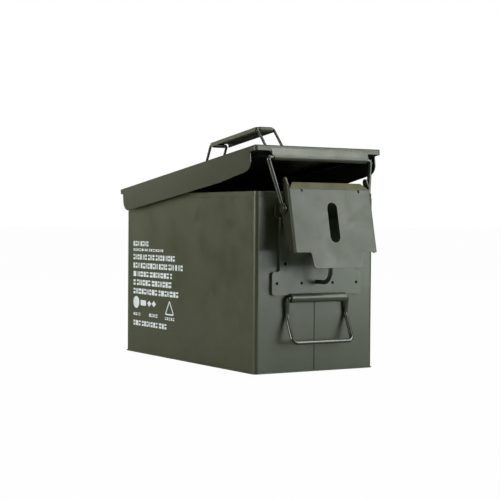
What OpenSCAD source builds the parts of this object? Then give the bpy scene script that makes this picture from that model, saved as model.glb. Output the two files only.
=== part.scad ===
// Steel ammunition-style box used as a fire-resistant battery safe.
// Axes: X across the latch end, Y from the latch end (-Y) to the hinge end (+Y), Z up.
// Origin: centre of the base, on the ground. The lid stands open by lid_open degrees.
// Front means the latch end, rear the hinge end.

/* [Box] */
// Outside width of the box
body_w = 144.8; // [140:0.2:150]
// Outside length of the box
body_l = 285; // [270:1:300]
// Height of the seal rim above the ground
body_h = 182; // [178:0.5:190]
// Sheet thickness of the box and the lid
sheet = 1; // [0.8:0.1:1.2]
// Outside radius of the upright corners
corner_r = 4.5; // [3:0.5:6]
// Height of the joggled seal rim
rim_h = 5.5; // [4:0.5:8]
// How far the bottom hem stands proud of the walls
hem_out = 1.2; // [0.8:0.1:2]

/* [Lid] */
// Angle at which the lid stands open
lid_open = 7.5; // [0:0.5:20]
// Length of the lid
lid_l = 304; // [303.4:0.2:304.6]
// Width of the lid
lid_w = 154.2; // [153:0.2:156]
// Depth of the side skirts
skirt_d = 27; // [24:0.5:28]
// Depth of the edge band round the lid
band_d = 5.5; // [4:0.5:6]
// Thickness of the rubber seal
seal_t = 5.25; // [5:0.05:5.25]
// Half width of the front skirt that holds the draw link
front_skirt = 58.5; // [57:0.5:60]

/* [Latch] */
// Tilt of the hanging latch lever
latch_tilt = 12.25; // [8:0.25:14]
// Half width of the latch lever over its flanges
latch_x = 49.9; // [49:0.1:50]
// Sheet thickness of the latch lever
latch_t = 1.5; // [1.2:0.1:2]
// How far the dished bracket plate stands off the wall
bracket_t = 3.2; // [2.5:0.1:3.5]
// Sheet thickness of the bracket
bracket_s = 1.5; // [1.2:0.1:1.8]
// Diameter of the draw link wire
link_d = 4.4; // [4:0.1:5]
// Diameter of the seal staple wire
staple_d = 4.3; // [3:0.1:4.4]

/* [Handles] */
// Diameter of the front handle wire
front_wire = 4.2; // [3.8:0.1:4.6]
// Half width of the front handle
front_hx = 36.2; // [36:0.1:38]
// Diameter of the top handle bails
bail_d = 3; // [2.6:0.1:3.2]
// Distance between the two bail bars in the grip
grip_l = 100.5; // [90:0.5:110]
// Width of the grip
grip_w = 24.8; // [23:0.2:25]
// Radial running clearance of wires and pins
run = 0.08; // [0.05:0.01:0.1]

/* [Hidden] */
$fn = 48;
olive = [0.27, 0.29, 0.22];
olive_front = [0.33, 0.36, 0.31];
olive_light = [0.42, 0.45, 0.38];
steel_dark = [0.16, 0.18, 0.14];
rubber = [0.03, 0.03, 0.03];

wall_y = body_l / 2;             // end walls stand at -wall_y and +wall_y
pan_t = 1.2;                     // bottom pan thickness

// hinge
hinge_out = 7.5;                 // axis behind the rear wall
hinge_y = wall_y + hinge_out;
hinge_z = body_h - 4.7;
leaf_x = 40;                     // half width of both leaves
leaf_t = 1.5;
barrel_r = 3.6;
pin_r = 1.75;
pin_x = 38;                      // half length between the pin heads
knuckles_body = [[-pin_x, -24], [-7, 7], [24, pin_x]];   // [from x, to x]
knuckles_lid = [[-23.7, -7.3], [7.3, 23.7]];

// closed lid
lid_top = body_h + 6.3;
lid_rear = wall_y + 9.2;
lid_front = lid_rear - lid_l;

// draw link bar in the lid's front curl, closed lid
link_r = link_d / 2;
link_bore = link_r + run;
link_curl_r = link_bore + sheet;
bar_in = 0.5;                    // behind the lid's front face
bar_up = -12;                    // from the lid's top face
bar_y = lid_front + bar_in;
bar_z = lid_top + bar_up;

// latch pivot with the lid standing open
pivot_y = -wall_y - 18;
pivot_z = body_h - 17.2;
rivet_r = 2.5;

// front fittings, drawn at a rim height of 180.7 and then raised
fittings_up = body_h - 180.7;
bracket_y = -wall_y - bracket_t; // front face of the bracket
handle_r = front_wire / 2;
handle_bore = handle_r + run;
handle_curl_r = handle_bore + bracket_s + 0.9;
handle_y = -wall_y - handle_curl_r;
handle_z = 74;

// top handle: u is measured from the lid's rear edge forwards
bail_r = bail_d / 2;
bail_x = 10.5;                   // half width
bail_lean = 24;                  // run of a leaning bail along the lid
bail_rise = 34.3;
foot_up = 2.5;                   // bail feet above the lid
grip_mid_u = 154.55;
rear_bar_u = grip_mid_u - grip_l / 2;
front_bar_u = grip_mid_u + grip_l / 2;
rear_foot_u = rear_bar_u - bail_lean;
front_foot_u = front_bar_u + bail_lean;

// ---------- helpers ----------
function unit(v) = v / norm(v);

// lower and upper X of a span from near to far on side s (-1 or 1)
function low_x(s, near, far) = s > 0 ? near : -far;
function high_x(s, near, far) = s > 0 ? far : -near;

// box with round upright edges, centred in X and Y, standing on z = 0
module round_box(w, l, h, r) {
    translate([-w / 2 + r, -l / 2, 0]) cube([w - 2 * r, l, h]);
    translate([-w / 2, -l / 2 + r, 0]) cube([w, l - 2 * r, h]);
    for (x = [-1, 1], y = [-1, 1])
        translate([x * (w / 2 - r), y * (l / 2 - r), 0]) cylinder(r = r, h = h);
}

// plate in the XZ plane, from x0 to x1 and z0 to z1, front face at y, round corners
module wall_plate(x0, x1, z0, z1, y, t, r) {
    translate([0, y + t, 0]) rotate([90, 0, 0]) {
        translate([x0 + r, z0, 0]) cube([x1 - x0 - 2 * r, z1 - z0, t]);
        translate([x0, z0 + r, 0]) cube([x1 - x0, z1 - z0 - 2 * r, t]);
        for (x = [x0 + r, x1 - r], z = [z0 + r, z1 - r])
            translate([x, z, 0]) cylinder(r = r, h = t);
    }
}

// cylinder along X
module x_cylinder(x0, x1, y, z, r) {
    translate([x0, y, z]) rotate([0, 90, 0]) cylinder(r = r, h = x1 - x0);
}

// cylinder along X, centred on x = 0
module x_bar(half_l, y, z, r) {
    x_cylinder(-half_l, half_l, y, z, r);
}

// cylinder along X from near to far on side s
module side_cylinder(s, near, far, y, z, r) {
    x_cylinder(low_x(s, near, far), high_x(s, near, far), y, z, r);
}

// cylinder starting at a point and running along +Y
module y_cylinder(start, r, h) {
    translate(start) rotate([-90, 0, 0]) cylinder(r = r, h = h);
}

// straight wire between two points
module rod(from, to, r) {
    d = to - from;
    length = norm(d);
    turn = (d[0] == 0 && d[1] == 0) ? 0 : atan2(d[1], d[0]);
    translate(from) rotate([0, acos(d[2] / length), turn]) cylinder(r = r, h = length);
}

// round bend of a wire at the corner of the path before-corner-after
module bend(before, corner, after, bend_r, wire_r) {
    dir_in = unit(corner - before);
    dir_out = unit(after - corner);
    turn = acos(dir_in * dir_out);
    centre = corner + unit(dir_out - dir_in) * (bend_r / cos(turn / 2));
    start = corner - dir_in * bend_r * tan(turn / 2);
    ex = unit(start - centre);
    ez = unit(cross(dir_in, dir_out));
    ey = cross(ez, ex);
    multmatrix([[ex[0], ey[0], ez[0], centre[0]],
                [ex[1], ey[1], ez[1], centre[1]],
                [ex[2], ey[2], ez[2], centre[2]]])
        rotate_extrude(angle = turn) translate([bend_r, 0]) circle(r = wire_r);
}

// bend radius at corner i: one number, or a list with one entry per point
function bend_radius(radii, i) = is_list(radii) ? radii[i] : radii;

// length the bend at point i takes off each straight
function bend_trim(path, i, radii) =
    (i == 0 || i == len(path) - 1) ? 0
    : bend_radius(radii, i)
      * tan(acos(unit(path[i] - path[i - 1]) * unit(path[i + 1] - path[i])) / 2);

// wire along a path with round bends; swell makes the bends a hair thicker than the straights,
// which run a little way into them
module wire(path, radii, wire_r, swell = 0.03) {
    last = len(path) - 2;
    overlap = swell > 0 ? 0.2 : 0;
    for (i = [0:last]) {
        dir = unit(path[i + 1] - path[i]);
        from = path[i] + dir * (bend_trim(path, i, radii) - (i == 0 ? 0 : overlap));
        to = path[i + 1] - dir * (bend_trim(path, i + 1, radii) - (i == last ? 0 : overlap));
        rod(from, to, wire_r);
    }
    for (i = [1:last])
        bend(path[i - 1], path[i], path[i + 1], bend_radius(radii, i), wire_r + swell);
}

// channel section: face at y = 0, open at y = depth, length l along Z
module channel(half_w, depth, t, r, l) {
    difference() {
        union() {
            translate([-half_w + r, 0, 0]) cube([2 * (half_w - r), depth, l]);
            translate([-half_w, r, 0]) cube([2 * half_w, depth - r, l]);
            for (s = [-1, 1]) translate([s * (half_w - r), r, 0]) cylinder(r = r, h = l);
        }
        translate([-half_w + r, t, -1]) cube([2 * (half_w - r), depth, l + 2]);
        translate([-half_w + t, r, -1]) cube([2 * (half_w - t), depth, l + 2]);
        for (s = [-1, 1])
            translate([s * (half_w - r), r, -1]) cylinder(r = r - t, h = l + 2);
    }
}

// closed-lid coordinates to the standing-open pose
module at_lid() {
    translate([0, hinge_y, hinge_z]) rotate([-lid_open, 0, 0])
        translate([0, -hinge_y, -hinge_z]) children();
}

// a closed-lid point with the lid standing open
function opened(p) = [
    p[0],
    hinge_y + (p[1] - hinge_y) * cos(lid_open) + (p[2] - hinge_z) * sin(lid_open),
    hinge_z - (p[1] - hinge_y) * sin(lid_open) + (p[2] - hinge_z) * cos(lid_open)];

// latch coordinates: X along the pivot, -Y outwards from the plate, -Z down the plate
module at_latch() {
    translate([0, pivot_y, pivot_z]) rotate([-latch_tilt, 0, 0]) children();
}

// ---------- box ----------
module body_shell() {
    seam_x = -1.9;
    seam_w = 1.1;
    seam_d = 0.65;
    color(olive) difference() {
        translate([0, 0, pan_t]) round_box(body_w, body_l, body_h - rim_h - pan_t, corner_r);
        translate([0, 0, -1])
            round_box(body_w - 2 * sheet, body_l - 2 * sheet, body_h + 2, corner_r - sheet);
        // butt seam down the latch end
        translate([seam_x, -wall_y - 1, 0]) cube([seam_w, 1 + seam_d, body_h]);
    }
}

module body_rim() {
    rim_z = body_h - rim_h;
    cut_z = rim_z - 8;
    lip_t = 1;                   // inturned lip at the top
    bore_in = 2;                 // insets from the box's outside
    mouth_in = 6.5;
    color(olive) difference() {
        union() {
            // sleeve inside the walls
            translate([0, 0, rim_z - 6])
                round_box(body_w - 2 * sheet, body_l - 2 * sheet, 8, corner_r - sheet);
            translate([0, 0, rim_z])
                round_box(body_w - sheet, body_l - sheet, rim_h, corner_r - sheet / 2);
        }
        translate([0, 0, cut_z])
            round_box(body_w - 2 * bore_in, body_l - 2 * bore_in, body_h - lip_t - cut_z,
                      corner_r - 1.5);
        translate([0, 0, cut_z])
            round_box(body_w - 2 * mouth_in, body_l - 2 * mouth_in, rim_h + 20, corner_r - 2);
    }
}

// upright frame on the base, its inner and outer outlines drawn in by shrink
module bead_frame(shrink, h) {
    outer_in = 22 + shrink;
    inner_in = 31 - shrink;
    difference() {
        round_box(body_w - 2 * outer_in, body_l - 2 * outer_in, h, 12 - shrink);
        translate([0, 0, -1])
            round_box(body_w - 2 * inner_in, body_l - 2 * inner_in, h + 2, 5 + shrink);
    }
}

module bottom_pan() {
    color(olive) difference() {
        union() {
            round_box(body_w + 2 * hem_out, body_l + 2 * hem_out, pan_t, corner_r + hem_out);
            // raised stiffening bead, hollow below
            translate([0, 0, 0.5]) bead_frame(0, 1.9);
        }
        translate([0, 0, -1]) bead_frame(1, 2.2);
    }
}

// ---------- front fittings ----------
foot_x = 54.2;                   // half width of the bracket's wide foot
foot_top = 100.3;
panel_x = 45.3;                  // half width of its middle panel
horn_x = 37;                     // inner edge of the two upright horns
horn_top = 168.8;
// [x, z] on the +X side, mirrored to the other
weld_dimples = [[48.6, 88.7], [19, 88.7], [38.7, 108.3]];
landings = concat(weld_dimples, [[19, 140], [0, 90.6]]);

// outline of the bracket, inset all round by inset
module bracket_outline(t, inset) {
    wall_plate(-foot_x + inset, foot_x - inset, 77 + inset, foot_top - inset,
               bracket_y, t, 3 - inset / 2);
    wall_plate(-panel_x + inset, panel_x - inset, 78 + inset, 153.5 - inset, bracket_y, t, 1);
    near = horn_x + inset;
    far = panel_x - inset;
    for (s = [-1, 1])
        wall_plate(low_x(s, near, far), high_x(s, near, far), 140 + inset, horn_top - inset,
                   bracket_y, t, 1);
}

// fillet between the foot and the panel on side s
module waist_fillet(s) {
    fillet_r = 2.9;
    difference() {
        translate([low_x(s, panel_x - 0.5, panel_x + 2.5), bracket_y, foot_top - 0.5])
            cube([3, bracket_t, 3.2]);
        y_cylinder([s * (panel_x + fillet_r), bracket_y - 1, foot_top + fillet_r], fillet_r, 6);
    }
}

// hook tab beside the horn on side s, with its forward lip
module bracket_hook(s) {
    tab = [41, 51.3];
    lip = [44.9, 47.3];
    lip_out = 3.4;
    lip_x = low_x(s, lip[0], lip[1]);
    lip_w = lip[1] - lip[0];
    wall_plate(low_x(s, tab[0], tab[1]), high_x(s, tab[0], tab[1]), 154.5, horn_top,
               bracket_y, bracket_s, 3.5);
    translate([lip_x, bracket_y - lip_out, 153.2]) cube([lip_w, lip_out + 0.2, 1.6]);
    translate([lip_x, bracket_y - lip_out, 145]) cube([lip_w, 1.5, 9]);
}

module latch_bracket() {
    curl_x = 33.2;               // half length of the rolled edge
    cut_x = 60;                  // half length of through cuts
    color(olive_front) translate([0, 0, fittings_up]) difference() {
        union() {
            bracket_outline(bracket_t, 0);
            for (s = [-1, 1]) {
                waist_fillet(s);
                bracket_hook(s);
            }
            // rolled edge round the handle bar
            translate([-curl_x, bracket_y, handle_z]) cube([2 * curl_x, bracket_s, 7]);
            x_bar(curl_x, handle_y, handle_z, handle_curl_r);
        }
        x_bar(cut_x, handle_y, handle_z, handle_bore);
        // the roll is open at its upper front
        translate([-cut_x, handle_y, handle_z])
            cube([2 * cut_x, bracket_y - handle_y, handle_curl_r + 1]);
        // the back of the dished plate
        difference() {
            translate([0, bracket_s, 0]) bracket_outline(bracket_t, bracket_s);
            // landings, some of them under the weld dimples
            for (s = [-1, 1], p = landings)
                y_cylinder([s * p[0], bracket_y - 1, p[1]], 3.2, 8);
        }
        // nothing reaches into the wall
        translate([-cut_x, -wall_y, 60]) cube([2 * cut_x, 10, 40]);
        // spot weld dimples
        for (s = [-1, 1], p = weld_dimples)
            y_cylinder([s * p[0], bracket_y - 1, p[1]], 1.4, 2.6);
    }
}

module seal_staple() {
    out_y = -wall_y - 26.5;
    low_z = 89.8;
    high_z = 118;
    color(olive_front) translate([0, 0, fittings_up])
        wire([[0, bracket_y, low_z], [0, out_y, low_z], [0, out_y, high_z],
              [0, bracket_y, high_z]], 12, staple_d / 2);
}

module front_handle() {
    end_x = 1.5;                 // the two ends of the wire meet inside the rolled edge
    knee_y = -wall_y - 2.4;
    knee_z = 56.4;
    grip_y = -wall_y - 15;
    grip_z = 29.8;
    color(olive_front) translate([0, 0, fittings_up])
        wire([[-end_x, handle_y, handle_z], [-front_hx, handle_y, handle_z],
              [-front_hx, knee_y, knee_z], [-front_hx, grip_y, grip_z],
              [front_hx, grip_y, grip_z], [front_hx, knee_y, knee_z],
              [front_hx, handle_y, handle_z], [end_x, handle_y, handle_z]],
             [0, 2.4, 6, 5.5, 5.5, 6, 2.4, 0], handle_r);
}

// ---------- hinge ----------
module body_hinge_leaf() {
    web_z = 165;                 // foot of the webs up to the knuckles
    knuckle_z = hinge_z - barrel_r;
    color(olive) difference() {
        union() {
            wall_plate(-leaf_x, leaf_x, 150, 171.5, wall_y, leaf_t, 3);
            for (k = knuckles_body) {
                w = k[1] - k[0];
                translate([k[0], wall_y, web_z]) cube([w, leaf_t, knuckle_z - web_z + leaf_t]);
                translate([k[0], wall_y, knuckle_z]) cube([w, hinge_out, leaf_t]);
                x_cylinder(k[0], k[1], hinge_y, hinge_z, barrel_r);
            }
        }
        x_bar(60, hinge_y, hinge_z, pin_r + 0.03);
    }
}

module hinge_pin() {
    head_t = 1.2;
    color(steel_dark) {
        x_bar(pin_x, hinge_y, hinge_z, pin_r);
        for (s = [-1, 1]) side_cylinder(s, pin_x, pin_x + head_t, hinge_y, hinge_z, 2.7);
    }
}

module lid_hinge_leaf() {
    color(olive) at_lid() difference() {
        union() {
            wall_plate(-leaf_x, leaf_x, lid_top - 6, lid_top - 0.6, lid_rear, leaf_t, 1.2);
            for (k = knuckles_lid) {
                translate([k[0], lid_rear, hinge_z])
                    cube([k[1] - k[0], leaf_t, lid_top - 4 - hinge_z]);
                x_cylinder(k[0], k[1], hinge_y, hinge_z, barrel_r);
            }
        }
        x_bar(60, hinge_y, hinge_z, pin_r + run);
    }
}

// ---------- lid, drawn closed and then stood open ----------
module lid_outline(inset, h) {
    translate([0, lid_rear - lid_l / 2, 0])
        round_box(lid_w - 2 * inset, lid_l - 2 * inset, h, 3.5 - inset);
}

// square bar on its corner that eases a drawn edge
module edge_cutter(l) {
    ease = 1.1;
    linear_extrude(l) rotate(45) square(ease * sqrt(2), center = true);
}

// top with its drawn edge eased all round, and the band under it
module lid_top_and_band() {
    difference() {
        translate([0, 0, lid_top - band_d]) lid_outline(0, band_d);
        translate([0, 0, lid_top - band_d - 1]) lid_outline(sheet, band_d + 1 - sheet);
        for (s = [-1, 1]) {
            translate([s * lid_w / 2, lid_rear + 1, lid_top]) rotate([90, 0, 0])
                edge_cutter(lid_l + 2);
            translate([-lid_w / 2 - 1, s > 0 ? lid_rear : lid_front, lid_top])
                rotate([90, 0, 90]) edge_cutter(lid_w + 2);
        }
    }
}

// x: Y from the lid's rear edge, y: Z from its top
module side_skirt_profile() {
    front = 10.6 - lid_l;            // front end of the skirt
    front_arc_r = 10.6;
    front_arc_z = -13.2;
    rear_arc_x = -19.8;
    polygon([[-8, -0.5], [front, -0.5], [front, front_arc_z], [4.2 + front, -20.8],
             [12 + front, -24.3], [62 + front, -skirt_d], [rear_arc_x, -skirt_d],
             [-13.6, -23.6], [-9.1, -18], [-8, -13]]);
    translate([front_arc_r + front, front_arc_z]) circle(r = front_arc_r);
    translate([rear_arc_x, -15.2]) circle(r = 11.8);
}

// x: inwards from the lid's front face, y: up from its top
module front_skirt_profile() {
    centre = [bar_in, bar_up];
    top = [0, -3];
    r = link_curl_r - 0.12;
    reach = norm(centre - top);
    // outer face runs from top to where it touches the roll
    lean = asin(r / reach) - atan2(centre[0] - top[0], top[1] - centre[1]);
    touch = top + sqrt(reach * reach - r * r) * [-sin(lean), -cos(lean)];
    polygon([top, [0.9, -3], [0.9, -4.2], touch + 0.95 * [cos(lean), -sin(lean)], touch]);
}

// plate leaning out to meet the roll at its lower edge
module lid_front_skirt() {
    roll_x = front_skirt - 2.2;
    difference() {
        union() {
            translate([-front_skirt, lid_front, lid_top]) rotate([90, 0, 90])
                linear_extrude(2 * front_skirt) front_skirt_profile();
            x_bar(roll_x, bar_y, bar_z, link_curl_r);
        }
        x_bar(70, bar_y, bar_z, link_bore);
    }
}

// fillet between the band and the front skirt on side s
module front_skirt_fillet(s) {
    r = 3;
    fillet_z = lid_top - band_d - r;
    difference() {
        translate([low_x(s, front_skirt - 0.1, front_skirt + r - 0.1), lid_front, fillet_z])
            cube([r, sheet, r + 0.5]);
        y_cylinder([s * (front_skirt + r), lid_front - 1, fillet_z - 0.02], r, 4);
    }
}

module lid_pan() {
    color(olive) at_lid() {
        union() {
            lid_top_and_band();
            for (x = [-lid_w / 2, lid_w / 2 - sheet])
                translate([x, lid_rear, lid_top]) rotate([90, 0, 90])
                    linear_extrude(sheet) side_skirt_profile();
            lid_front_skirt();
            for (s = [-1, 1]) front_skirt_fillet(s);
        }
    }
}

// ---------- seal ----------
// round box on the seal's inner outline, inset all round
module seal_opening(inset, h, r) {
    round_box(body_w - 16 - 2 * inset, body_l - 18 - 2 * inset, h, r);
}

module lid_gasket() {
    color(rubber) at_lid() translate([0, 0, lid_top - sheet - seal_t]) difference() {
        translate([0, -0.5, 0]) round_box(lid_w - 2.4, body_l + 7, seal_t, 3);
        translate([0, 0, -1]) seal_opening(0, seal_t + 2, 4);
    }
}

module gasket_retainer() {
    below = 2;                   // reaches below the rim
    h = lid_top - sheet - body_h + below;
    color(olive) at_lid() difference() {
        translate([0, 0, body_h - below]) seal_opening(0.1, h, 3.9);
        translate([0, 0, body_h - below - 1]) seal_opening(1.1, h, 2.9);
        translate([0, 0, body_h - below - 1]) seal_opening(7, 20, 3);
    }
}

// ---------- top handle ----------
guide_travel = 37;
guide_end = 2.4;                 // guide length beyond the foot at either end

// folded-sheet guide: u0 to u1 along the lid, stops at both ends
module guide(u0, u1) {
    w = 39;
    h = 4.9;
    t = 0.8;
    slot_w = 27;
    l = u1 - u0;
    front = lid_rear - u1;
    difference() {
        translate([-w / 2, front, lid_top]) cube([w, l, h]);
        translate([-w / 2 + t, front + t, lid_top + t]) cube([w - 2 * t, l - 2 * t, h - 2 * t]);
        translate([-slot_w / 2, front - 1, lid_top + t]) cube([slot_w, l + 2, 10]);
    }
}

module handle_guide_rear() {
    color(olive) at_lid()
        guide(rear_foot_u - guide_travel - 2 * guide_end, rear_foot_u + guide_end);
}

module handle_guide_front() {
    color(olive) at_lid()
        guide(front_foot_u - guide_end, front_foot_u + guide_travel + 2 * guide_end);
}

// bail with out-turned feet at foot_u, leaning forwards (side 1) or backwards (side -1)
module bail(foot_u, side) {
    foot_x_end = 18.2;
    leg = norm([bail_lean, bail_rise]);
    translate([0, lid_rear - foot_u, lid_top + foot_up])
        rotate([side * atan2(bail_lean, bail_rise), 0, 0])
            wire([[-foot_x_end, 0, 0], [-bail_x, 0, 0], [-bail_x, 0, leg],
                  [bail_x, 0, leg], [bail_x, 0, 0], [foot_x_end, 0, 0]],
                 2.2, bail_r, 0);
}

module handle_bail_rear() {
    color(olive) at_lid() bail(rear_foot_u, 1);
}

module handle_bail_front() {
    color(olive) at_lid() bail(front_foot_u, -1);
}

module handle_grip() {
    bore = bail_r + run;
    curl_r = bore + sheet;
    tongue_x = 7.7;              // half width
    end_gap = 1.7;               // from each bar to the channel's end
    hook_l = 1.6;
    bar_height = lid_top + foot_up + bail_rise;
    rear_y = lid_rear - rear_bar_u;
    front_y = lid_rear - front_bar_u;
    color(olive) at_lid() difference() {
        union() {
            // pressed channel, open side down
            translate([0, front_y + end_gap, bar_height + curl_r]) rotate([-90, 0, 0])
                channel(grip_w / 2, 5, sheet, 2.2, grip_l - 2 * end_gap);
            // tongues and end curls, open on the inner side
            translate([-tongue_x, front_y, bar_height + bore])
                cube([2 * tongue_x, grip_l, sheet]);
            for (y = [front_y, rear_y]) difference() {
                x_bar(tongue_x, y, bar_height, curl_r);
                translate([-10, y == front_y ? y : y - 5, bar_height - 5])
                    cube([20, 5, 5 + bore]);
            }
            for (y = [front_y, rear_y])
                translate([-tongue_x, y == front_y ? y : y - hook_l, bar_height - curl_r])
                    cube([2 * tongue_x, hook_l, sheet]);
        }
        for (y = [front_y, rear_y]) x_bar(15, y, bar_height, bore);
    }
}

// ---------- latch ----------
module draw_link() {
    bar = opened([0, bar_y, bar_z]);
    half_bar = 62.7;
    eye_in = latch_x + 0.1;          // inner face of the eyes
    eye_out = eye_in + 2.2;
    leg_x = eye_in + link_r;         // leg axis at the eye
    pivot = [0, pivot_y, pivot_z];
    leg_start = 4 * unit(bar - pivot);
    color(olive_front) difference() {
        union() {
            wire([[-leg_x, pivot_y, pivot_z] + leg_start, [-half_bar, bar[1], bar[2]],
                  [half_bar, bar[1], bar[2]], [leg_x, pivot_y, pivot_z] + leg_start],
                 3, link_r);
            for (s = [-1, 1]) side_cylinder(s, eye_in, eye_out, pivot_y, pivot_z, 5.8);
        }
        x_bar(80, pivot_y, pivot_z, rivet_r + run);
        // room for the rivet heads
        for (s = [-1, 1]) side_cylinder(s, eye_out, 80, pivot_y, pivot_z, 4.7);
    }
}

plate_out = 10.3;                // latch plate in front of its pivot
bend_z = 18.3;                   // bend between plate and top lip
plate_drop = 46;                 // flanges end this far below the pivot

module latch_side_profile() {
    // x: inwards from the front face, y: up the plate
    n = plate_out;
    polygon([[-1, bend_z], [2.6, 27.3], [9, 27.3], [n - 0.6, 9], [n + 4.1, 5], [n + 6, 0],
             [n + 5.2, -13.5], [n + 2.4, -31], [n + 1.2, -40], [6, -plate_drop],
             [-1, -plate_drop]]);
    translate([5.8, 27.5]) circle(r = 3.3);
    translate([n, 0]) circle(r = 6);
}

// lower tab with filleted shoulders
module latch_tab_profile() {
    end_x = 25.4;
    corner = 4;
    corner_y = -58;
    polygon([[-31, -44], [31, -44], [end_x + corner, corner_y], [-end_x - corner, corner_y]]);
    translate([-end_x, corner_y - corner]) square([2 * end_x, 8]);
    for (s = [-1, 1]) translate([s * end_x, corner_y]) circle(r = corner);
    difference() {
        translate([-32.6, -48]) square([65.2, 3]);
        for (s = [-1, 1]) translate([s * 32.7, -47.9]) circle(r = 2);
    }
}

module latch_lever() {
    face_y = -plate_out;
    slot_r = 6;
    slot_top = -1.6;
    slot_bottom = -30.4;
    inner_x = latch_x - latch_t;
    color(olive_light) at_latch() difference() {
        union() {
            // plate with side flanges and raised ears
            difference() {
                intersection() {
                    translate([0, face_y, -plate_drop]) channel(latch_x, 24, latch_t, 2.2, 100);
                    translate([-60, face_y, 0]) rotate([90, 0, 90])
                        linear_extrude(120) latch_side_profile();
                }
                // the plate ends at the bend, the ears stand on
                translate([-inner_x, face_y - 5, bend_z + 0.1]) cube([2 * inner_x, 40, 40]);
            }
            translate([0, face_y + latch_t, 0]) rotate([90, 0, 0])
                linear_extrude(latch_t) latch_tab_profile();
            // top lip, bent back
            translate([0, face_y, bend_z]) rotate([-31, 0, 0])
                translate([0, latch_t, 0]) rotate([90, 0, 0]) linear_extrude(latch_t)
                    polygon([[-46.6, -0.7], [46.6, -0.7], [46.6, 1.4],
                             [41.6, 8.4], [-41.6, 8.4], [-46.6, 1.4]]);
        }
        // slot for the seal staple
        for (z = [slot_top, slot_bottom]) y_cylinder([0, face_y - 3, z], slot_r, 8);
        translate([-slot_r, face_y - 3, slot_bottom])
            cube([2 * slot_r, 8, slot_top - slot_bottom]);
        // rivet holes
        x_bar(80, 0, 0, rivet_r);
        // dimples in the bend
        for (s = [-1, 1]) y_cylinder([s * 34.5, face_y - 1, 16], 1.55, 2.3);
    }
}

module latch_rivets() {
    inner_x = latch_x - latch_t;
    outer_x = latch_x + 2.4;
    color(steel_dark) at_latch() for (s = [-1, 1]) mirror([s > 0 ? 0 : 1, 0, 0]) {
        x_cylinder(inner_x - 1.4, inner_x, 0, 0, 4);
        x_cylinder(inner_x, outer_x, 0, 0, rivet_r);
        x_cylinder(outer_x, outer_x + 1.2, 0, 0, 4.2);
    }
}

body_shell();
body_rim();
bottom_pan();
latch_bracket();
seal_staple();
body_hinge_leaf();
hinge_pin();
front_handle();
lid_pan();
lid_hinge_leaf();
lid_gasket();
gasket_retainer();
handle_guide_rear();
handle_guide_front();
handle_bail_rear();
handle_bail_front();
handle_grip();
draw_link();
latch_lever();
latch_rivets();
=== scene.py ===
"""Olive-painted sheet-steel can with a hinged lid, draw latch and wire handles.

Metres, +Z up. The can stands on z = 0 with its front towards -Y and its left wall,
which carries white stencil marks, towards -X. The shapes come from the CAD pieces;
this script adds edge finishing, materials, the marks, a pale stage, lights and a camera.
"""
import bpy, bmesh, math
from mathutils import Vector, Matrix


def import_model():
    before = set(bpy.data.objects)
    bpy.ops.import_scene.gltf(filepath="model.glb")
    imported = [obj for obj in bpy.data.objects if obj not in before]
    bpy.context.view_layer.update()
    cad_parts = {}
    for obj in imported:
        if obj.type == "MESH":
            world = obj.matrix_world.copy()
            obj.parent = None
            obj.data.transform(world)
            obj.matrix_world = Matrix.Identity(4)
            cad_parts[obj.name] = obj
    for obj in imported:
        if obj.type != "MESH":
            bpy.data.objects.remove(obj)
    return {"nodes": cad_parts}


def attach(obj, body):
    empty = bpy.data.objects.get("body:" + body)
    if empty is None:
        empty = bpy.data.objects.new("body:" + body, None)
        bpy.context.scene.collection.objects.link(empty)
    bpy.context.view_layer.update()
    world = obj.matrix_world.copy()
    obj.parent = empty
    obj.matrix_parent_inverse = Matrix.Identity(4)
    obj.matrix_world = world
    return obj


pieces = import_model()["nodes"]
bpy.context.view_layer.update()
scene = bpy.context.scene

MM = 0.001


def add_object(name, data):
    obj = bpy.data.objects.new(name, data)
    scene.collection.objects.link(obj)
    return obj


# ------------------------------------------------------------------ shader helpers


def rgba(value):
    """Opaque colour from a grey level or an (r, g, b) tuple."""
    if isinstance(value, tuple):
        return value + (1.0,)
    return (value, value, value, 1.0)


def tint(base, gain, lift=0.0):
    return tuple(c * gain + lift for c in base)


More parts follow.
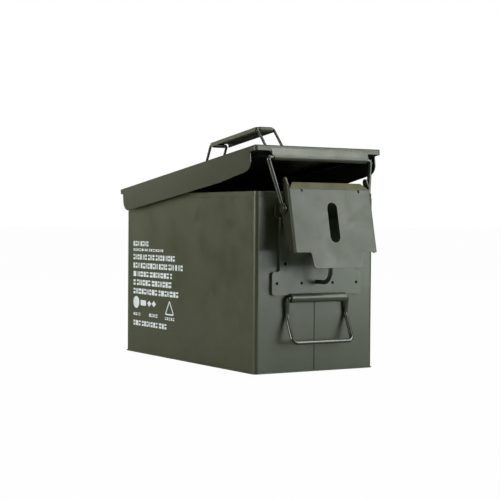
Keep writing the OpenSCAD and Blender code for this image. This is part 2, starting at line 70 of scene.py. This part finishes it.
class Shader:
    """A material with a Principled BSDF and short ways to add nodes to it."""

    def __init__(self, name):
        self.material = bpy.data.materials.new(name)
        self.material.use_nodes = True
        self.tree = self.material.node_tree
        self.tree.nodes.clear()
        self.output = self.node("OutputMaterial")
        self.bsdf = self.node("BsdfPrincipled")
        self.feed(self.output.inputs[0], self.bsdf.outputs[0])

    def node(self, kind):
        return self.tree.nodes.new("ShaderNode" + kind)

    def feed(self, socket, value):
        """Link a socket into an input, or set the input to a plain value."""
        if isinstance(value, bpy.types.NodeSocket):
            self.tree.links.new(value, socket)
        else:
            socket.default_value = value

    def set(self, name, value):
        self.feed(self.bsdf.inputs[name], value)

    def object_coords(self):
        return self.node("TexCoord").outputs["Object"]

    def split(self, vector):
        node = self.node("SeparateXYZ")
        self.feed(node.inputs[0], vector)
        return node.outputs

    def noise(self, coords, scale, detail, roughness, distortion=0.0):
        node = self.node("TexNoise")
        node.inputs["Scale"].default_value = scale
        node.inputs["Detail"].default_value = detail
        node.inputs["Roughness"].default_value = roughness
        node.inputs["Distortion"].default_value = distortion
        self.feed(node.inputs["Vector"], coords)
        return node.outputs["Fac"]

    def ramp(self, source, *stops):
        """Colour ramp; each stop is (position, grey level or colour)."""
        node = self.node("ValToRGB")
        elements = node.color_ramp.elements
        while len(elements) > 1:
            elements.remove(elements[-1])
        elements[0].position = stops[0][0]
        elements[0].color = rgba(stops[0][1])
        for position, value in stops[1:]:
            elements.new(position).color = rgba(value)
        self.feed(node.inputs[0], source)
        return node.outputs[0]

    def mix(self, factor, first, second):
        node = self.node("Mix")
        node.data_type = "RGBA"
        self.feed(node.inputs[0], factor)
        for socket, value in ((node.inputs[6], first), (node.inputs[7], second)):
            is_socket = isinstance(value, bpy.types.NodeSocket)
            self.feed(socket, value if is_socket else rgba(value))
        return node.outputs[2]

    def math(self, operation, first, second, clamp=True):
        node = self.node("Math")
        node.operation = operation
        node.use_clamp = clamp
        self.feed(node.inputs[0], first)
        self.feed(node.inputs[1], second)
        return node.outputs[0]

    def vector_math(self, operation, first, second):
        node = self.node("VectorMath")
        node.operation = operation
        self.feed(node.inputs[0], first)
        self.feed(node.inputs[1], second)
        return node.outputs["Value"]

    def gate(self, value, start, gain):
        """0 up to start, then rising by gain to 1."""
        return self.math("MULTIPLY", self.math("SUBTRACT", value, start), gain)

    def bump(self, height, strength, distance, under=None):
        """Bump from a height, laid over the normal given as under."""
        node = self.node("Bump")
        node.inputs["Strength"].default_value = strength
        node.inputs["Distance"].default_value = distance
        self.feed(node.inputs["Height"], height)
        if under:
            self.feed(node.inputs["Normal"], under)
        return node.outputs[0]


# ------------------------------------------------------------------ olive paint

# colour of the dust and painted sheen on upward faces
DUST_AND_SHEEN_COLOUR = (0.150, 0.140, 0.078)
# near-black painted shade inside the weld dimples
PIT_SHADE_COLOUR = (0.002, 0.002, 0.002)
PIT_SHADE_SPECULAR = 0.03
PIT_RADIUS = 0.00165
PIT_GAIN = 5000.0     # hardness of a pit's rim, per metre
EDGE_RADIUS = 0.0009
EDGE_GAIN = 5.0       # how fast an edge reads as rubbed and highlit once the normal turns
SMUDGE_COVER = 0.8    # strength of the handled patches
MIN_EDGE_ROUGH = 0.15


def rubbed_and_highlit_edges(shader, geometry, patches, wear_and_highlight):
    """Mask of the edges, where the rounded normal departs from the real one: rubbed paint with a
    painted highlight.
    """
    bevel = shader.node("Bevel")
    bevel.samples = 6
    bevel.inputs["Radius"].default_value = EDGE_RADIUS
    facing = shader.vector_math("DOT_PRODUCT", bevel.outputs[0], geometry.outputs["Normal"])
    edge = shader.math("MULTIPLY", shader.math("SUBTRACT", 1.0, facing), EDGE_GAIN)
    broken = shader.ramp(patches, (0.40, 0.15), (0.62, 1.0))
    return shader.math("MULTIPLY", shader.math("MULTIPLY", edge, broken), wear_and_highlight)


def pit_shade_mask(shader, coords, shaded_pits):
    """Mask of painted shade in the weld dimples: discs at the (x, z) places in shaded_pits,
    mirrored in X.
    """
    axes = shader.split(coords)
    flat = shader.node("CombineXYZ")
    shader.feed(flat.inputs[0], shader.math("ABSOLUTE", axes["X"], 0.0, clamp=False))
    shader.feed(flat.inputs[2], axes["Z"])
    mask = None
    for x, z in shaded_pits:
        distance = shader.vector_math("DISTANCE", flat.outputs[0], (x, 0.0, z))
        inside = shader.math("SUBTRACT", PIT_RADIUS, distance)
        disc = shader.math("MULTIPLY", inside, PIT_GAIN)
        mask = disc if mask is None else shader.math("MAXIMUM", mask, disc)
    return mask


def paint(name, base, rough, wear_and_highlight=0.35, mottle=0.10, coat=0.0, peel=0.25, wave=0.35,
          spec=0.5, flank_shade=1.0, dust=0.0, smudge=0.0, shaded_pits=()):
    """Enamel over sheet steel.

    wear_and_highlight: strength of rubbed edges and their painted highlight      mottle: slow tone drift, as a share of base
    peel, wave: strength of the fine and the broad surface bumps
    flank_shade: painted shade, the brightness of faces that look along X, 1 for no change
    dust: khaki dust and a painted sheen on upward faces   smudge: extra roughness of handled patches
    shaded_pits: (x, z) places of weld dimples, painted near-black as shade
    """
    shader = Shader(name)
    coords = shader.object_coords()
    slow = shader.noise(coords, scale=9.0, detail=3.0, roughness=0.5)
    patches = shader.noise(coords, scale=60.0, detail=5.0, roughness=0.6, distortion=0.3)
    geometry = shader.node("NewGeometry")

    # tone drift and lighter patches
    colour = shader.ramp(slow, (0.3, tint(base, 1 - mottle)), (0.7, tint(base, 1 + mottle)))
    light = shader.ramp(patches, (0.45, 0.0), (0.75, 0.35))
    colour = shader.mix(light, colour, tint(base, gain=1.18, lift=0.004))

    # lighter edges: rubbed paint, with a painted highlight where light catches the sheet edges
    edge = rubbed_and_highlit_edges(shader, geometry, patches, wear_and_highlight)
    colour = shader.mix(edge, colour, tint(base, gain=2.1, lift=0.02))

    # small scuffs
    scuff = shader.noise(coords, scale=180.0, detail=8.0, roughness=0.7, distortion=1.2)
    scuff = shader.ramp(scuff, (0.66, 0.0), (0.72, 0.22))
    colour = shader.mix(scuff, colour, tint(base, gain=1.55, lift=0.01))

    shader.set("Specular IOR Level", spec)
    if flank_shade < 1.0:
        # painted shade on the folded sides: faces that look along X are darkened and their
        # specular lowered
        normal_x = shader.split(geometry.outputs["True Normal"])["X"]
        flank_shade_mask = shader.math("ABSOLUTE", normal_x, 0.0, clamp=False)
        flank_shade_mask = shader.gate(flank_shade_mask, start=0.6, gain=4.0)
        colour = shader.mix(flank_shade_mask, colour, tint(base, flank_shade))
        shader.set("Specular IOR Level", shader.mix(flank_shade_mask, spec, spec * flank_shade))
    if dust:
        # khaki dust and a painted sheen: whatever faces upward is made lighter and yellowish
        normal_z = shader.split(geometry.outputs["True Normal"])["Z"]
        dust_and_sheen_mask = shader.gate(normal_z, start=0.25, gain=4.0)
        cover = shader.ramp(patches, (0.35, 0.45), (0.6, 1.0))
        dust_and_sheen_mask = shader.math("MULTIPLY", dust_and_sheen_mask, cover)
        colour = shader.mix(shader.math("MULTIPLY", dust_and_sheen_mask, dust), colour, DUST_AND_SHEEN_COLOUR)
    if shaded_pits:
        # painted shade: the weld dimples are near-black with almost no specular
        inside = pit_shade_mask(shader, coords, shaded_pits)
        colour = shader.mix(inside, colour, PIT_SHADE_COLOUR)
        shader.set("Specular IOR Level", shader.mix(inside, spec, PIT_SHADE_SPECULAR))
    shader.set("Base Color", colour)

    roughness = shader.ramp(patches, (0.3, rough - 0.05), (0.75, rough + 0.08))
    if smudge:
        # handled patches, duller than the rest
        hand = shader.noise(coords, scale=26.0, detail=4.0, roughness=0.55, distortion=0.8)
        hand = shader.ramp(hand, (0.46, 0.0), (0.62, 1.0))
        hand = shader.math("MULTIPLY", hand, SMUDGE_COVER)
        roughness = shader.mix(hand, roughness, rough + smudge + 0.04)
    roughness = shader.mix(edge, roughness, max(MIN_EDGE_ROUGH, rough - 0.16))
    shader.set("Roughness", roughness)
    if coat:
        shader.set("Coat Weight", coat)
        shader.set("Coat Roughness", 0.2)

    # orange peel, then broad waves, then fine grain
    orange_peel = shader.noise(coords, scale=420.0, detail=2.0, roughness=0.5)
    broad = shader.noise(coords, scale=14.0, detail=2.0, roughness=0.4)
    grain = shader.noise(coords, scale=900.0, detail=3.0, roughness=0.6)
    normal = shader.bump(orange_peel, strength=peel, distance=0.00006)
    normal = shader.bump(broad, strength=wave, distance=0.0011, under=normal)
    normal = shader.bump(grain, strength=0.12, distance=0.00002, under=normal)
    shader.set("Normal", normal)
    return shader.material


# ------------------------------------------------------------------ rubber and stencil paint


def rubber(name):
    """Near-black matt rubber with a little dust."""
    shader = Shader(name)
    coords = shader.object_coords()
    dust = shader.noise(coords, scale=70.0, detail=5.0, roughness=0.65)
    shader.set("Base Color", shader.ramp(
        dust, (0.4, (0.0035, 0.0035, 0.0035)), (0.8, (0.009, 0.009, 0.0085))))
    shader.set("Roughness", shader.ramp(dust, (0.3, 0.72), (0.8, 0.9)))
    shader.set("Specular IOR Level", 0.2)
    grain = shader.noise(coords, scale=1500.0, detail=2.0, roughness=0.6)
    shader.set("Normal", shader.bump(grain, strength=0.4, distance=0.0001))
    return shader.material


def stencil_white(name):
    """Sprayed bluish-white paint, worn in spots."""
    shader = Shader(name)
    coords = shader.object_coords()
    spray = shader.noise(coords, scale=500.0, detail=5.0, roughness=0.7)
    worn = shader.noise(coords, scale=160.0, detail=7.0, roughness=0.72, distortion=0.6)
    shader.set("Base Color", shader.ramp(
        worn, (0.28, (0.46, 0.51, 0.55)), (0.42, (0.70, 0.77, 0.83)), (0.8, (0.75, 0.83, 0.90))))
    shader.set("Roughness", shader.ramp(spray, (0.3, 0.55), (0.7, 0.75)))
    shader.set("Normal", shader.bump(spray, strength=0.2, distance=0.00003))
    return shader.material


# ------------------------------------------------------------------ the materials

BODY = paint("paint_body", (0.044, 0.052, 0.026), rough=0.36, spec=0.52, coat=0.25,
             wave=0.5, smudge=0.08)
# the lid's faces that look along X carry painted shade
LID = paint("paint_lid", (0.044, 0.051, 0.027), rough=0.36, spec=0.50, wave=0.2,
            flank_shade=0.72, coat=0.2)
WIRE = paint("paint_wire", (0.020, 0.024, 0.015), rough=0.22, wear_and_highlight=0.4, peel=0.10,
             spec=0.6, coat=0.9)
# the latch's flanges that look along X carry painted shade
# the latch's upward faces get dust and a painted sheen
LATCH = paint("paint_latch", (0.061, 0.065, 0.042), rough=0.42, wear_and_highlight=0.9, wave=0.22,
              mottle=0.16, smudge=0.08, spec=0.54, flank_shade=0.30, dust=0.95, coat=0.15)
# the bracket's edges get a strong painted highlight
# the bracket's weld dimples get painted shade
BRACKET = paint("paint_bracket", (0.052, 0.061, 0.034), rough=0.36, spec=0.74, wear_and_highlight=1.0,
                shaded_pits=((0.0486, 0.0900), (0.0190, 0.0900), (0.0387, 0.1096)))
# the staple's near-black colour is painted shade, as it sits in the latch's shadow
SHADED_STAPLE = paint("paint_staple_shaded", (0.010, 0.012, 0.008), rough=0.38, wear_and_highlight=0.3, peel=0.1, spec=0.35)
# the grip's lighter base colour is painted light, standing in for bounce light on its underside
LIT_GRIP = paint("paint_grip_lit", (0.072, 0.080, 0.054), rough=0.40, wear_and_highlight=0.8, spec=0.5)
PIN = paint("pin_paint", (0.04, 0.045, 0.030), rough=0.35, wear_and_highlight=0.6)
RUBBER = rubber("seal_rubber")
WHITE = stencil_white("stencil_paint")

# ------------------------------------------------------------------ dressing the CAD pieces

WELD_DISTANCE = 0.000004
FLAT_ANGLE = math.radians(0.6)     # faces closer than this merge into one
SHARP_ANGLE = math.radians(28.0)   # edges sharper than this are rounded
NORMAL_WEIGHT = 60

# CAD piece, material, bevel width (mm), bevel segments, whether flat faces are merged
FINISHES = (
    ("body_shell", BODY, 0.3, 2, True),
    ("body_rim", BODY, 0.4, 2, True),
    ("bottom_pan", BODY, 0.4, 2, True),
    ("latch_bracket", BRACKET, 0.7, 3, True),
    ("seal_staple", SHADED_STAPLE, 0.2, 2, False),
    ("body_hinge_leaf", BODY, 0.4, 2, True),
    ("hinge_pin", PIN, 0.3, 2, False),
    ("front_handle", WIRE, 0.2, 2, False),
    ("lid_pan", LID, 0.6, 3, True),
    ("lid_hinge_leaf", LID, 0.4, 2, True),
    ("lid_gasket", RUBBER, 0.8, 3, True),
    ("gasket_retainer", LID, 0.3, 2, True),
    ("handle_guide_rear", LID, 0.3, 2, True),
    ("handle_guide_front", LID, 0.3, 2, True),
    ("handle_bail_rear", WIRE, 0.2, 2, False),
    ("handle_bail_front", WIRE, 0.2, 2, False),
    ("handle_grip", LIT_GRIP, 0.4, 2, True),
    ("draw_link", WIRE, 0.3, 2, False),
    ("latch_lever", LATCH, 0.6, 2, True),
    ("latch_rivets", WIRE, 0.5, 2, False),
)


def dress(obj, material, bevel_width, segments, merge_flat):
    """Give a piece its material, weld it, round its sharp edges and keep its faces flat."""
    obj.data.materials.clear()
    obj.data.materials.append(material)
    for polygon in obj.data.polygons:
        polygon.use_smooth = True

    weld = obj.modifiers.new("weld", "WELD")
    weld.merge_threshold = WELD_DISTANCE
    if merge_flat:
        planar = obj.modifiers.new("planar", "DECIMATE")
        planar.decimate_type = "DISSOLVE"
        planar.angle_limit = FLAT_ANGLE
    edges = obj.modifiers.new("edges", "BEVEL")
    edges.width = bevel_width
    edges.segments = segments
    edges.limit_method = "ANGLE"
    edges.angle_limit = SHARP_ANGLE
    edges.use_clamp_overlap = True
    edges.harden_normals = False
    edges.miter_outer = "MITER_ARC"
    normals = obj.modifiers.new("normals", "WEIGHTED_NORMAL")
    normals.keep_sharp = False
    normals.weight = NORMAL_WEIGHT


for piece, material, width, segments, merge_flat in FINISHES:
    dress(pieces[piece], material, width * MM, segments, merge_flat)

# ------------------------------------------------------------------ stencil marks, left wall
# Generic bars and shapes only. Outlines are (y, z) in millimetres.

WALL_X = -0.0724
MARK_LIFT = 0.00006           # outer face of the paint, off the wall
MARK_DEPTH = MARK_LIFT * 0.7  # thickness of the paint
BLOCK_RADIUS = 0.8
HALF_BRIDGE = 0.595           # half the gap between a block's upper and lower halves
NARROW_BLOCK = 3.0            # blocks narrower than this stay whole


def add_points(sheet, points):
    return [sheet.verts.new((WALL_X - MARK_LIFT, y * MM, z * MM)) for y, z in points]


def finish_mark(name, sheet):
    """Thicken a flat sheet towards the wall and make it a painted part of the can."""
    extruded = bmesh.ops.extrude_face_region(sheet, geom=sheet.faces[:])
    for item in extruded["geom"]:
        if isinstance(item, bmesh.types.BMVert):
            item.co.x += MARK_DEPTH
    bmesh.ops.recalc_face_normals(sheet, faces=sheet.faces[:])
    mesh = bpy.data.meshes.new(name)
    sheet.to_mesh(mesh)
    sheet.free()
    obj = add_object(name, mesh)
    mesh.materials.append(WHITE)
    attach(obj, "can")


def add_mark(name, outlines):
    """One mark made of filled outlines."""
    sheet = bmesh.new()
    for outline in outlines:
        face = sheet.faces.new(add_points(sheet, outline))
        sheet.normal_update()
        if face.normal.x > 0:
            face.normal_flip()
    finish_mark(name, sheet)


def add_band(name, outer, inner):
    """One mark filling the closed strip between two matching outlines."""
    sheet = bmesh.new()
    outer = add_points(sheet, outer)
    inner = add_points(sheet, inner)
    for i in range(len(outer)):
        j = (i + 1) % len(outer)
        sheet.faces.new((outer[i], outer[j], inner[j], inner[i]))
    finish_mark(name, sheet)


def round_rect(rear, front, bottom, top, radius=BLOCK_RADIUS, steps=4):
    """Rectangle with rounded corners; rear is the larger y."""
    radius = min(radius, (rear - front) * 0.45, (top - bottom) * 0.45)
    corners = (
        (rear - radius, top - radius, 0),
        (front + radius, top - radius, 90),
        (front + radius, bottom + radius, 180),
        (rear - radius, bottom + radius, 270),
    )
    points = []
    for y, z, start in corners:
        for i in range(steps + 1):
            angle = math.radians(start + 90 * i / steps)
            points.append((y + radius * math.cos(angle), z + radius * math.sin(angle)))
    return points


def ellipse(y, z, radius_y, radius_z, steps=32):
    angles = [2 * math.pi * i / steps for i in range(steps)]
    return [(y + radius_y * math.cos(a), z + radius_z * math.sin(a)) for a in angles]


def block(pattern, y, width, bottom, top):
    """Outlines of one block whose rear edge is at y, split by one of four bridge patterns."""
    front = y - width
    middle = (bottom + top) / 2
    height = top - bottom
    if pattern == 0 or width < NARROW_BLOCK:
        return [round_rect(y, front, bottom, top)]
    if pattern == 1:
        return [round_rect(y, front, middle + HALF_BRIDGE, top),
                round_rect(y, front, bottom, middle - HALF_BRIDGE)]
    if pattern == 2:
        return [round_rect(y, y - width * 0.36, bottom, top),
                round_rect(y - width * 0.64, front, bottom, top)]
    return [round_rect(y, front, bottom + height * 0.70, top),
            round_rect(y, front, bottom, bottom + height * 0.42)]


def add_row(name, rear, front, bottom, top, gap, wide_gap, widths):
    """Blocks filling a row from rear to front; widths are shares, 0 leaves a wide gap."""
    gaps = sum(1 for this, after in zip(widths, widths[1:]) if this and after)
    spaces = gaps * gap + widths.count(0) * wide_gap
    unit = (rear - front - spaces) / sum(widths)
    y = rear
    outlines = []
    for i, share in enumerate(widths):
        if not share:
            y -= wide_gap
            continue
        pattern = (i * 7 + len(widths) * 3) % 4
        outlines += block(pattern, y, share * unit, bottom, top)
        y -= share * unit
        if i + 1 < len(widths) and widths[i + 1]:
            y -= gap
    add_mark(name, outlines)


# name suffix, rear y, front y, bottom z, top z, gap, wide gap, block widths
ROWS = (
    ("a", 125.2, 87.7, 122.6, 128.4, 1.3, 3.4, (3, 4, 3, 0, 3, 3, 4, 3)),
    ("b", 125.1, 51.6, 117.0, 119.8, 1.2, 3.0,
     (2, 3, 2, 4, 3, 0, 2, 2, 0, 3, 2, 4, 2, 3, 3, 2)),
    ("c", 125.1, 24.5, 107.0, 113.2, 1.4, 3.2,
     (3, 3, 3, 3, 0, 3, 3, 0, 3, 3, 3, 0, 3, 3, 3, 3, 0, 3, 3, 3, 3)),
    ("d", 125.0, 6.3, 97.2, 103.5, 1.4, 3.2,
     (3, 3, 3, 0, 3, 4, 3, 3, 4, 3, 4, 0, 3, 3, 2, 3, 0, 4, 4, 0, 3, 0, 3, 3)),
    ("e", 124.8, 31.1, 87.6, 93.6, 1.4, 3.4,
     (4, 0, 3, 4, 3, 3, 0, 4, 3, 2, 3, 3, 3, 3, 0, 2)),
    ("f", 124.7, 32.1, 77.6, 84.0, 1.4, 3.4,
     (3, 0, 3, 4, 3, 3, 3, 0, 4, 3, 2, 3, 3, 3, 4)),
    ("g", 124.6, 16.1, 67.6, 73.9, 1.4, 3.4,
     (3, 3, 4, 3, 3, 3, 3, 4, 3, 0, 3, 4, 3, 3, 4, 3, 3)),
    ("h", 124.3, 106.5, 42.8, 45.8, 1.1, 2.2, (2, 3, 0, 3)),
    ("i", 85.0, 64.5, 42.8, 46.6, 1.2, 2.2, (3, 2, 3, 3)),
    ("j", 46.7, 24.8, 41.8, 45.0, 1.2, 2.2, (3, 2, 3, 2, 3)),
    ("k", 124.2, 43.1, 31.2, 37.1, 1.4, 3.2,
     (3, 4, 3, 0, 3, 3, 2, 3, 3, 3, 3, 0, 4, 3, 3)),
)
for suffix, *row in ROWS:
    add_row("mark_row_" + suffix, *row)

# corner points of the two diamonds: rear, top, front, bottom
DIAMONDS = (
    ((90.2, 57.6), (84.9, 61.2), (79.8, 57.7), (84.9, 54.1)),
    ((78.9, 57.8), (73.6, 61.4), (68.4, 57.9), (73.6, 54.3)),
)
add_mark("mark_disc", [ellipse(y=117.2, z=57.9, radius_y=7.4, radius_z=6.9)])
add_mark("mark_square", [round_rect(rear=106.2, front=92.8, bottom=54.6, top=60.9, radius=0.6)])
add_mark("mark_diamonds", DIAMONDS)


def add_triangle(name, y, bottom, top, half_width, band_width):
    """Triangle outline with rounded corners, point up."""
    corners = [Vector(p) for p in ((y, top), (y - half_width, bottom), (y + half_width, bottom))]
    cuts = (2.6, 4.2, 4.2)   # how far each corner's curve reaches along its sides
    steps = 6
    outer = []
    for i, (corner, cut) in enumerate(zip(corners, cuts)):
        start = corner + (corners[i - 1] - corner).normalized() * cut
        end = corner + (corners[(i + 1) % 3] - corner).normalized() * cut
        for step in range(steps + 1):
            t = step / steps
            outer.append(start * (1 - t) ** 2 + corner * 2 * t * (1 - t) + end * t ** 2)
    centre = Vector((y, bottom + (top - bottom) * 0.36))
    inner = [point - (point - centre).normalized() * band_width for point in outer]
    add_band(name, outer, inner)


add_triangle("mark_triangle", y=36.2, bottom=47.4, top=64.2, half_width=11.0, band_width=2.3)

# ------------------------------------------------------------------ stage and world

FLOOR_HALF = 30.0
FLOOR_Z = -0.0003
FLOOR_GLOW = 0.985   # share of plain white the camera sees in place of the lit floor


def make_floor():
    """Large grey floor that the camera sees as almost pure white."""
    mesh = bpy.data.meshes.new("floor")
    signs = ((-1, -1), (1, -1), (1, 1), (-1, 1))
    mesh.from_pydata([(x * FLOOR_HALF, y * FLOOR_HALF, 0) for x, y in signs], [], [(0, 1, 2, 3)])
    mesh.update()
    floor = add_object("floor", mesh)
    floor.location.z = FLOOR_Z

    shader = Shader("floor_pale")
    shader.set("Base Color", rgba(0.32))
    shader.set("Roughness", 0.9)
    glow = shader.node("Emission")
    glow.inputs["Color"].default_value = rgba(1.0)
    glow.inputs["Strength"].default_value = 1.0
    camera_ray = shader.node("LightPath").outputs["Is Camera Ray"]
    blend = shader.node("MixShader")
    shader.feed(blend.inputs[0], shader.math("MULTIPLY", camera_ray, FLOOR_GLOW, clamp=False))
    shader.feed(blend.inputs[1], shader.bsdf.outputs[0])
    shader.feed(blend.inputs[2], glow.outputs[0])
    shader.feed(shader.output.inputs[0], blend.outputs[0])
    mesh.materials.append(shader.material)


def make_world():
    """White to the camera, a dim near-white to everything else."""
    world = bpy.data.worlds.new("studio")
    scene.world = world
    world.use_nodes = True
    nodes = world.node_tree.nodes
    links = world.node_tree.links
    nodes.clear()
    output = nodes.new("ShaderNodeOutputWorld")
    blend = nodes.new("ShaderNodeMixShader")
    backgrounds = (((0.97, 0.99, 0.96), 0.05), ((1.0, 1.0, 1.0), 1.0))
    for slot, (colour, strength) in enumerate(backgrounds, start=1):
        background = nodes.new("ShaderNodeBackground")
        background.inputs[0].default_value = rgba(colour)
        background.inputs[1].default_value = strength
        links.new(background.outputs[0], blend.inputs[slot])
    path = nodes.new("ShaderNodeLightPath")
    links.new(path.outputs["Is Camera Ray"], blend.inputs[0])
    links.new(blend.outputs[0], output.inputs[0])


make_floor()
make_world()

# ------------------------------------------------------------------ lights


def area(name, place, target, size, power, colour, size_y=None):
    """Area light aimed at target; square unless size_y is given."""
    light = bpy.data.lights.new(name, "AREA")
    light.shape = "RECTANGLE" if size_y else "SQUARE"
    light.size = size
    if size_y:
        light.size_y = size_y
    light.energy = power
    light.color = colour
    obj = add_object(name, light)
    obj.location = place
    aim = Vector(target) - Vector(place)
    obj.rotation_euler = aim.to_track_quat("-Z", "Y").to_euler()


area("key_front_right", place=(0.97, -1.56, 0.44), target=(0, -0.14, 0.13),
     size=1.25, size_y=1.15, power=22.3, colour=(0.91, 1.0, 0.95))
area("top_soft", place=(-0.1, 0.15, 1.6), target=(0, 0.0, 0.1),
     size=0.9, power=9.5, colour=(1.0, 1.0, 0.97))
area("rear_right", place=(1.45, 1.15, 0.85), target=(0, 0.0, 0.1),
     size=0.9, power=11, colour=(1.0, 1.0, 0.97))
area("front_top", place=(0.92, -1.16, 1.42), target=(0, -0.15, 0.2),
     size=0.5, power=9.5, colour=(0.97, 1.0, 0.94))
area("left_fill", place=(-1.64, 0.26, 0.62), target=(0, 0.08, 0.11),
     size=0.45, size_y=0.9, power=18.0, colour=(1.0, 0.985, 0.86))
area("rear_strip", place=(-0.42, 1.90, 0.45), target=(-0.05, 0.1, 0.11),
     size=0.45, power=4, colour=(1.0, 0.985, 0.84))
area("corner_strip", place=(-1.45, -0.30, 0.42), target=(-0.07, -0.14, 0.12),
     size=0.08, size_y=0.9, power=2.6, colour=(1.0, 1.0, 0.92))

# ------------------------------------------------------------------ camera


def make_camera(place, heading, elevation, roll, lens):
    """Camera front left of the can; angles in degrees, heading measured from -Y."""
    data = bpy.data.cameras.new("cam")
    data.sensor_width = 36.0
    data.lens = lens
    data.clip_end = 100
    camera = add_object("cam", data)
    heading, elevation, roll = (math.radians(a) for a in (heading, elevation, roll))
    back = Vector((math.sin(heading) * math.cos(elevation),
                   -math.cos(heading) * math.cos(elevation),
                   math.sin(elevation)))
    level = Vector((0, 0, 1)).cross(back).normalized()
    upright = back.cross(level)
    right = level * math.cos(roll) + upright * math.sin(roll)
    up = level * -math.sin(roll) + upright * math.cos(roll)
    rows = [(right[i], up[i], back[i], place[i]) for i in range(3)]
    camera.matrix_world = Matrix((*rows, (0, 0, 0, 1)))
    scene.camera = camera


make_camera(place=(-0.76352, -1.25618, 0.15149), heading=-31.597, elevation=1.2204,
            roll=0.408, lens=95.513)
scene.view_settings.view_transform = "Standard"
scene.view_settings.look = "None"

bpy.context.view_layer.update()
